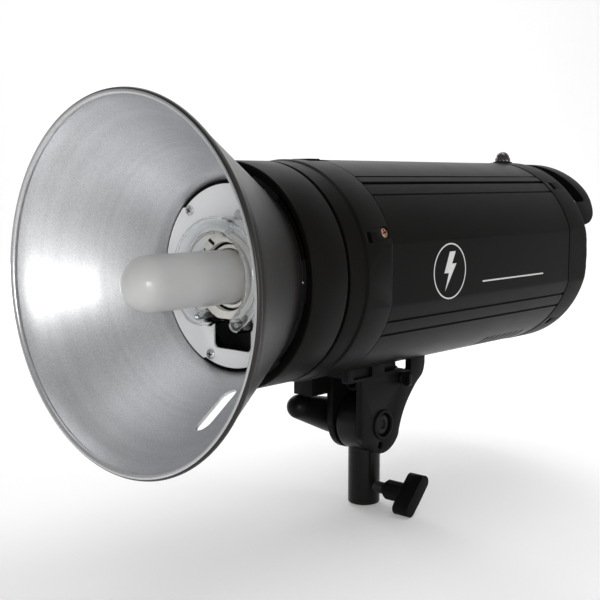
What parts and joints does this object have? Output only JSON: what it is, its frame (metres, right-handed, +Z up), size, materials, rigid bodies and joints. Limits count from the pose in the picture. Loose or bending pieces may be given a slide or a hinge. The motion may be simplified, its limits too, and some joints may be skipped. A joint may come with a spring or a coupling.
{
  "type": "studio strobe light",
  "caption": "Studio flash head with a bayonet reflector, ring flash tube, modelling lamp and rear controls, on a tilting bracket with an umbrella tube and a stand socket.",
  "frame": {"origin": "centre of the stand socket's mouth", "axes": "-Y is the way the lamp fires, along the body; +Z is up, along the stand; +X is the side with the stand screw"},
  "size_m": [0.21, 0.4266, 0.271],
  "materials": {
    "spun_aluminium": "satin, fine turned grain",
    "dark_steel": "black oxide",
    "bright_steel": "plain",
    "black_plastic": "fine satin",
    "white_plate": "satin white",
    "ceramic": "glazed ceramic",
    "sheet_metal": "plain sheet",
    "brass": "plain",
    "frosted_glass": "frosted",
    "clear_glass": "clear",
    "brown_bakelite": "moulded",
    "copper_wire": "bare copper",
    "black_extrusion": "black anodised",
    "copper_screw": "copper plated",
    "can_sleeve": "shrink sleeve",
    "circuit_board": "solder mask",
    "core_iron": "laminated",
    "coil_wire": "enamelled wire",
    "panel_paint": "satin",
    "smoked_lens": "ribbed",
    "knob_plastic": "satin",
    "red_key": "gloss",
    "green_lens": "clear",
    "black_casting": "powder coat",
    "fibre_washer": "pressed fibre",
    "lever_plastic": "satin"
  },
  "bodies": {
    "stand_socket": {"knuckle": "black_casting"},
    "head": {"mount_ring": "black_plastic", "front_housing": "black_plastic", "face_plate": "white_plate", "face_screws": "bright_steel", "ceramic_base": "ceramic", "bulkhead": "sheet_metal", "lamp_holder": "ceramic", "lamp_cap": "brass", "lamp_glass": "frosted_glass", "flash_tube": "clear_glass", "tube_ferrules": "bright_steel", "tube_sockets": "brown_bakelite", "tube_clip": "bright_steel", "trigger_wire": "copper_wire", "body_tube": "black_extrusion", "housing_screws": "copper_screw", "capacitors": "can_sleeve", "capacitor_clamp": "sheet_metal", "main_board": "circuit_board", "transformer_core": "core_iron", "transformer_coil": "coil_wire", "fan_frame": "black_plastic", "rear_cover": "black_plastic", "cover_screws": "dark_steel", "rear_panel": "panel_paint", "control_board": "circuit_board", "carry_handle": "black_plastic", "handle_screws": "dark_steel", "sensor_collar": "black_plastic", "sensor_dome": "smoked_lens", "ready_lamp": "green_lens", "sync_jack": "bright_steel", "mains_inlet": "black_plastic", "inlet_pins": "brass", "fuse_cap": "knob_plastic", "saddle": "black_casting", "near_cheek": "black_casting", "far_cheek": "black_casting", "cheek_tie": "dark_steel", "saddle_screws": "dark_steel", "umbrella_tube": "black_casting", "friction_washers": "fibre_washer", "pivot_bolt": "dark_steel"},
    "reflector": {"reflector_dish": "spun_aluminium", "bayonet_ring": "dark_steel", "bayonet_rivets": "bright_steel"},
    "release": {"release_slider": "black_plastic", "lock_pin": "bright_steel", "slider_spring": "bright_steel"},
    "fan": {"fan_rotor": "black_plastic"},
    "power_knob": {"power_dial": "knob_plastic"},
    "lamp_knob": {"lamp_dial": "knob_plastic"},
    "power_key": {"power_rocker": "red_key"},
    "slave_key": {"slave_rocker": "knob_plastic"},
    "test_key": {"test_button": "red_key"},
    "lever": {"tilt_lever": "lever_plastic", "lever_nut": "brass"},
    "umbrella_clamp": {"umbrella_screw": "lever_plastic"},
    "stand_clamp": {"stand_screw": "lever_plastic"}
  },
  "joints": [
    {"name": "head_tilt", "type": "hinge", "parent": "stand_socket", "child": "head", "pos_m": [0, 0, 0.057], "axis": [1, 0, 0], "range_deg": [-90, 60]},
    {"name": "reflector_turn", "type": "hinge", "parent": "head", "child": "reflector", "pos_m": [0, -0.1265, 0.166], "axis": [0, 1, 0], "range_deg": [-17, 17]},
    {"name": "release_slide", "type": "slide", "parent": "head", "child": "release", "axis": [0, 1, 0], "range_m": [0, 0.0032], "stiffness_N_per_m": 400, "springref_m": -0.004, "deforming": ["slider_spring"]},
    {"name": "fan_spin", "type": "hinge", "parent": "head", "child": "fan", "pos_m": [0, 0.1322, 0.1516], "axis": [0, 1, 0], "continuous": true},
    {"name": "power_dial_turn", "type": "hinge", "parent": "head", "child": "power_knob", "pos_m": [-0.025, 0.177, 0.183], "axis": [0, 1, 0], "range_deg": [-135, 135]},
    {"name": "lamp_dial_turn", "type": "hinge", "parent": "head", "child": "lamp_knob", "pos_m": [0.025, 0.177, 0.183], "axis": [0, 1, 0], "range_deg": [-135, 135]},
    {"name": "power_rocker_tip", "type": "hinge", "parent": "head", "child": "power_key", "pos_m": [-0.034, 0.1718, 0.146], "axis": [1, 0, 0], "range_deg": [-14, 0]},
    {"name": "slave_rocker_tip", "type": "hinge", "parent": "head", "child": "slave_key", "pos_m": [0.034, 0.1718, 0.146], "axis": [1, 0, 0], "range_deg": [-14, 0]},
    {"name": "test_press", "type": "slide", "parent": "head", "child": "test_key", "axis": [0, -1, 0], "range_m": [0, 0.0012], "stiffness_N_per_m": 600, "springref_m": -0.002},
    {"name": "tilt_lever_turn", "type": "hinge", "parent": "head", "child": "lever", "pos_m": [0, 0, 0.057], "axis": [1, 0, 0], "range_deg": [0, 100]},
    {"name": "umbrella_screw_turn", "type": "hinge", "parent": "head", "child": "umbrella_clamp", "pos_m": [0, 0.02, 0.0865], "axis": [1, 0, 0], "range_deg": [-360, 360]},
    {"name": "stand_screw_turn", "type": "hinge", "parent": "stand_socket", "child": "stand_clamp", "pos_m": [0, 0, 0.0126], "axis": [1, 0, 0], "range_deg": [-360, 360]}
  ]
}
